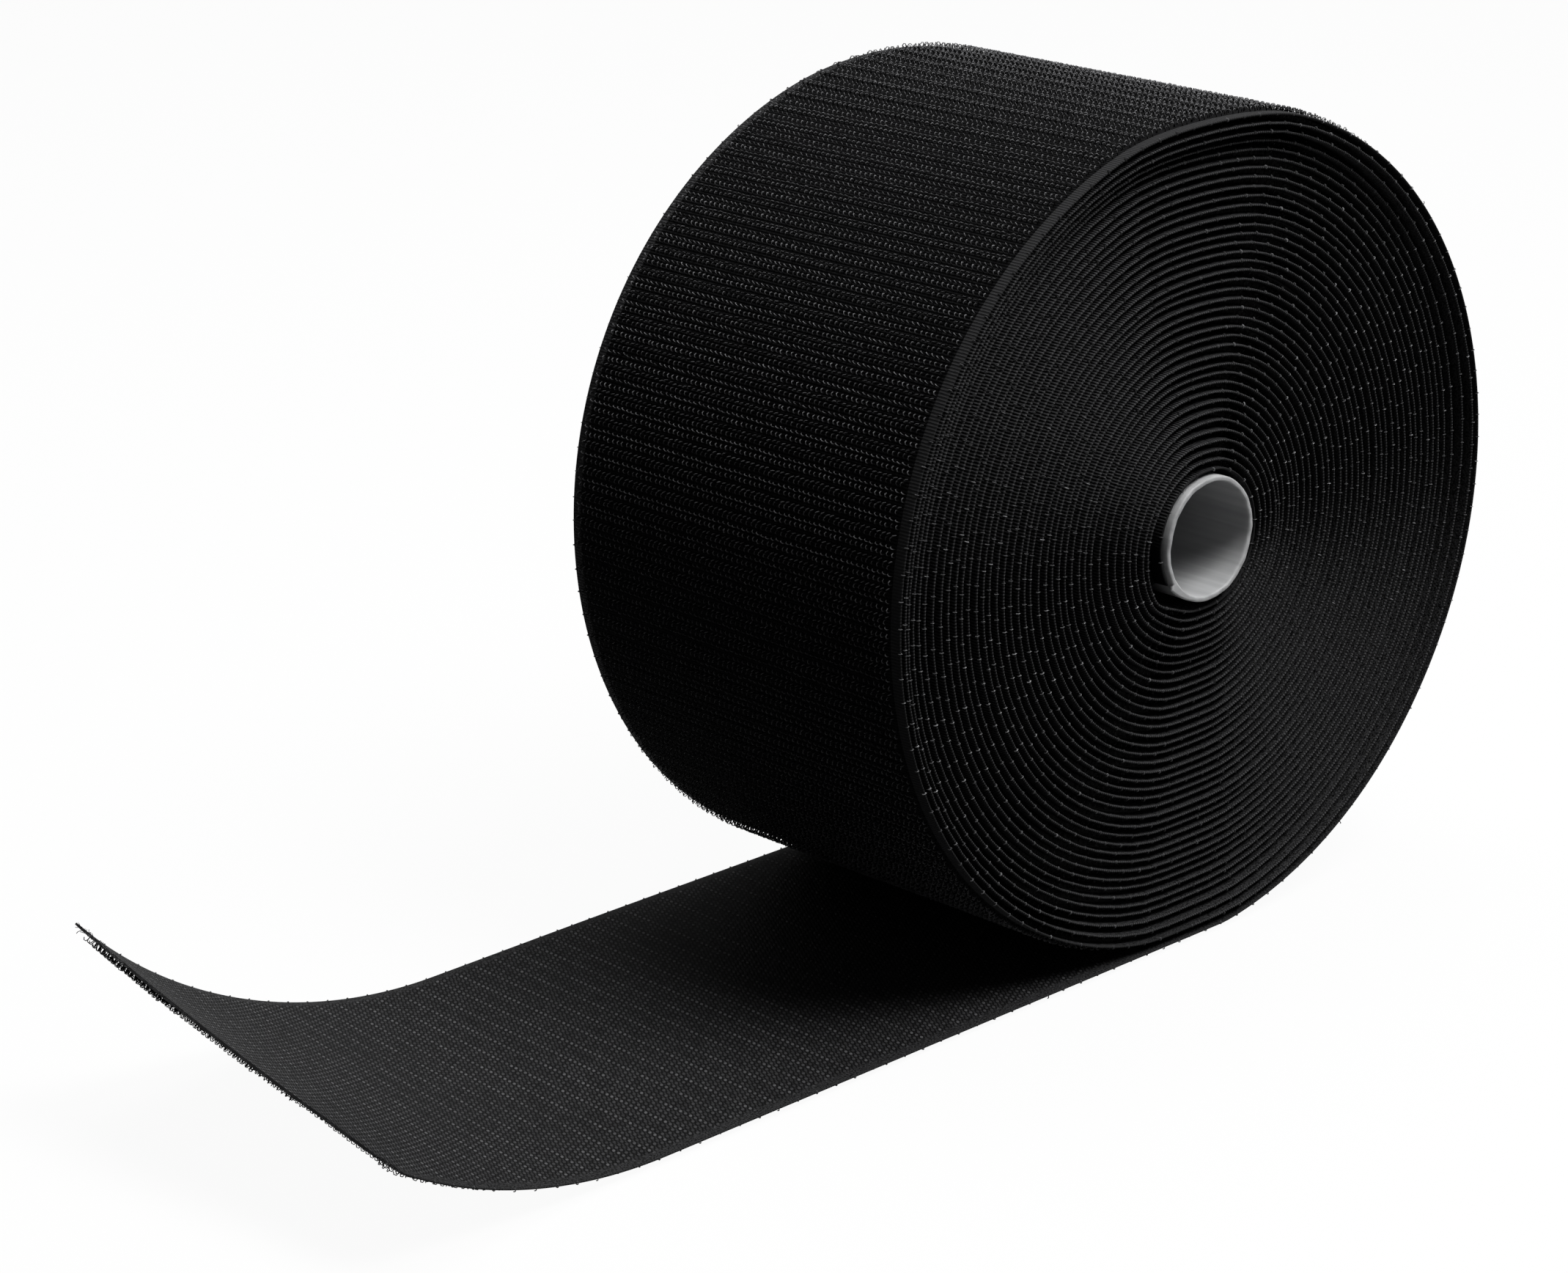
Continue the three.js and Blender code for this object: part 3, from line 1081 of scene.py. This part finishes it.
@dataclass
class LooseEnd:
    """The loose end of the tape, in three stretches that meet where each is wholly on one body."""

    path: TapePath
    finishes: Finishes
    row_step: float = 1.5
    ragged: Waves = ((0.18, 2.3, 0.0), (0.14, 5.1, 1.0))
    yarn_ends: int = 420
    yarn: Filament = Filament((0.0, 0.05, 0.3, 0.55), (-0.2, 0.3, 0.7, 0.85), 0.06)

    def bend(self, piece: Piece, stretch: Stretch, slot: str, suffix: str = "") -> Piece:
        """Bakes a piece's placement into its mesh and hides the stretch's solids that it stands in place of.

        Args:
            piece: the piece.
            stretch: the stretch that it belongs to.
            slot: not used.
            suffix: what follows the names of the stretch's solids.

        Returns:
            The piece.
        """
        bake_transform(piece)
        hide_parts(*(node + suffix for node in stretch.nodes))
        return piece

    def ground(self, stretch: Stretch) -> Surface:
        """The woven strip of one stretch, ended square or at the skewed cut.

        Args:
            stretch: which stretch.

        Returns:
            The strip.
        """
        ground = Ground(self.path, columns=40)
        across = ground.section()[0]
        steps = math.ceil((stretch.last - stretch.first) / self.row_step)
        end = np.full(len(across), stretch.last)
        if stretch.last >= self.path.cut_length:
            end = self.path.cut_at(across) + waves(self.ragged, across)
        share = np.linspace(0.0, 1.0, steps + 1)[:, None]
        return ground.surface(stretch.first + (end - stretch.first) * share, 1)

    def fray(self) -> Surface:
        """Loose yarn ends along the cut: short bent filaments that point out of it, longest at its corners.

        Returns:
            The yarn ends.
        """
        chance, n = np.random.default_rng(7), self.yarn_ends
        across = chance.uniform(-49.6, 49.6, n)
        length = self.path.cut_at(across) - 0.3
        along, over, up = self.path.frame(length, across)
        roots = self.path.point(length, across, chance.uniform(0.1, 0.5, n))
        turn = chance.uniform(0.0, TURN, n)
        bend = over * np.cos(turn)[:, None] + up * np.sin(turn)[:, None]
        lean = chance.normal(0.0, 0.35, (n, 2))
        out = unit(along + over * lean[:, :1] + up * lean[:, 1:])
        side = unit(np.cross(out, bend))
        corners = np.exp(-(((across - 44.0) / 16.0) ** 2)) + 0.5 * np.exp(-(((across + 46.0) / 8.0) ** 2))
        size = chance.uniform(0.5, 1.5, n) * (0.3 + 0.7 * corners)
        return self.yarn.planted(roots, np.cross(side, out), side, out, size, chance.uniform(0.2, 0.7, n))

    def build(self) -> None:
        """Makes ground, hooks and edge stitches of every stretch, and the frayed cut."""
        hook, stitch = [self.finishes.hooks], [self.finishes.stitches]
        for number, stretch in enumerate(STRETCHES):
            name, first = stretch.name, stretch.first
            made = self.ground(stretch).piece(f"{name}_ground", self.finishes.outside)
            self.bend(made, stretch, "tape_ground")
            carpet = HookField(self.path).carpet(first, stretch.last, 200 + number)
            hooks = self.bend(carpet.piece(f"{name}_hooks", hook), stretch, "hooks", "_hooks")
            for edge in Edge:
                last = min(stretch.last, float(self.path.cut_at(np.array(edge.value * 50.0))) - 2.0)
                seed = 300 + 2 * number + edge.value
                turned = EdgeStitches(self.path).surface(first + 1.0, last, edge, seed)
                side = turned.piece(f"{name}_stitches_{edge.name.lower()}", stitch, smooth=False)
                self.bend(side, stretch, "hooks", "_hooks")
            if stretch is STRETCHES[-1]:
                self.bend(self.fray().piece("cut_fray", hook), stretch, "tape_ground")


@dataclass(frozen=True)
class Studio:
    """Pale floor, soft light and the camera at the photograph's viewing angle."""

    image_width: float = 2139.0
    focal_pixels: float = 5657.958
    sensor: float = 36.0
    azimuth: float = math.radians(-43.651)
    elevation: float = math.radians(19.161)
    roll: float = math.radians(-0.216)
    distance: float = 0.882527
    target: tuple[float, float, float] = (-0.078553, 0.0, 0.07832)
    floor_half: float = 6000.0
    ambient: float = 0.007
    seen_by: tuple[str, ...] = ("Is Camera Ray", "Is Glossy Ray", "Is Transmission Ray")

    def camera(self) -> None:
        """Sets up the camera: back along azimuth and elevation from the target, turned by the roll."""
        az, el, turn = self.azimuth, self.elevation, self.roll
        back = Vector((math.sin(az) * math.cos(el), -math.cos(az) * math.cos(el), math.sin(el)))
        right = Vector((math.cos(az), math.sin(az), 0.0))
        up = back.cross(right)
        x = right * math.cos(turn) + up * math.sin(turn)
        y = up * math.cos(turn) - right * math.sin(turn)
        data = bpy.data.cameras.new("photo_camera")
        data.sensor_fit = "HORIZONTAL"
        data.sensor_width = self.sensor
        data.lens = self.focal_pixels / self.image_width * self.sensor
        data.clip_end = 50.0
        made = bpy.data.objects.new("photo_camera", data)
        place = Vector(self.target) + back * self.distance
        columns = ((x, 0.0), (y, 0.0), (back, 0.0), (place, 1.0))
        made.matrix_world = Matrix([(*v, w) for v, w in columns]).transposed()
        bpy.context.scene.collection.objects.link(made)
        bpy.context.scene.camera = made

    def seen(self, g: Graph) -> Socket:
        """One for rays from the camera, in reflections or through glass, else zero."""
        light = g.add("ShaderNodeLightPath", {}).outputs
        return reduce(lambda a, b: g.math("MAXIMUM", a, b), (light[kind] for kind in self.seen_by))

    def floor(self) -> None:
        """A wide pale floor: mostly plain white where it is seen, with some shading of its own."""
        g = Graph("pale_floor")
        place = g.add("ShaderNodeTexCoord", {}).outputs["Object"]
        fleck = g.add("ShaderNodeTexNoise", {"Vector": place, "Scale": 3.0, "Detail": 2.0}).outputs["Fac"]
        bounce, pale = (g.mixed(fleck, (a, a, a), (b, b, b)) for a, b in ((0.13, 0.15), (0.6, 0.63)))
        matt = g.add("ShaderNodeBsdfDiffuse", {"Color": g.mixed(self.seen(g), bounce, pale)})
        white = g.add("ShaderNodeEmission", {"Color": (1.0, 1.0, 1.0), "Strength": 1.0})
        share = g.times(self.seen(g), 0.95)
        mix = g.add("ShaderNodeMixShader", {0: share, 1: matt.outputs[0], 2: white.outputs[0]})
        g.add("ShaderNodeOutputMaterial", {"Surface": mix.outputs[0]})
        n = 9
        x, y = np.meshgrid(*[np.linspace(-self.floor_half, self.floor_half, n)] * 2, indexing="ij")
        corner = np.arange(n * n).reshape(n, n)[:-1, :-1].reshape(-1, 1)
        points = np.stack([x.ravel(), y.ravel(), np.full(x.size, -0.05)], axis=-1)
        Surface(points, corner + [0, n, n + 1, 1]).piece("floor", [g.owner])

    def world(self) -> None:
        """White where it is seen, and a weaker even light on the object."""
        g = Graph("studio", world=True)
        strength = g.add("ShaderNodeMapRange", {0: self.seen(g), 3: self.ambient, 4: 1.0}).outputs[0]
        shine = g.add("ShaderNodeBackground", {0: (1.0, 1.0, 1.0), 1: strength})
        g.add("ShaderNodeOutputWorld", {0: shine.outputs[0]})
        bpy.context.scene.world = g.owner

    def lamp(self, name: str, place: Colour, aim: Colour, size: float, watts: float) -> None:
        """Adds one square soft light.

        Args:
            name: its name.
            place: where it is.
            aim: the point that it shines at.
            size: length of its side in metres.
            watts: its power.
        """
        data = bpy.data.lights.new(name, "AREA")
        data.shape = "SQUARE"
        data.size = size
        data.energy = watts
        made = bpy.data.objects.new(name, data)
        made.location = place
        made.rotation_euler = (Vector(aim) - Vector(place)).to_track_quat("-Z", "Y").to_euler()
        bpy.context.scene.collection.objects.link(made)

    def build(self) -> None:
        """Sets up everything round the object."""
        bpy.context.scene.view_settings.view_transform = "Standard"
        self.camera()
        self.floor()
        self.world()
        self.lamp("front_key", (0.28, -0.66, 1.4), (-0.05, 0.0, 0.08), 0.75, 30.0)
        self.lamp("overhead", (0.25, 0.3, 1.45), (0.0, 0.0, 0.1), 0.8, 14.0)


def main() -> None:
    """Builds the studio, the roll and the loose end in order."""
    logging.basicConfig(level=logging.INFO, format="%(name)s: %(message)s")
    Studio().build()
    path = TapePath()
    finishes = Finishes.made(path)
    roll = Roll(path, finishes)
    roll.core()
    roll.winding()
    roll.outer_turn()
    LooseEnd(path, finishes).build()


if __name__ == "__main__":
    main()
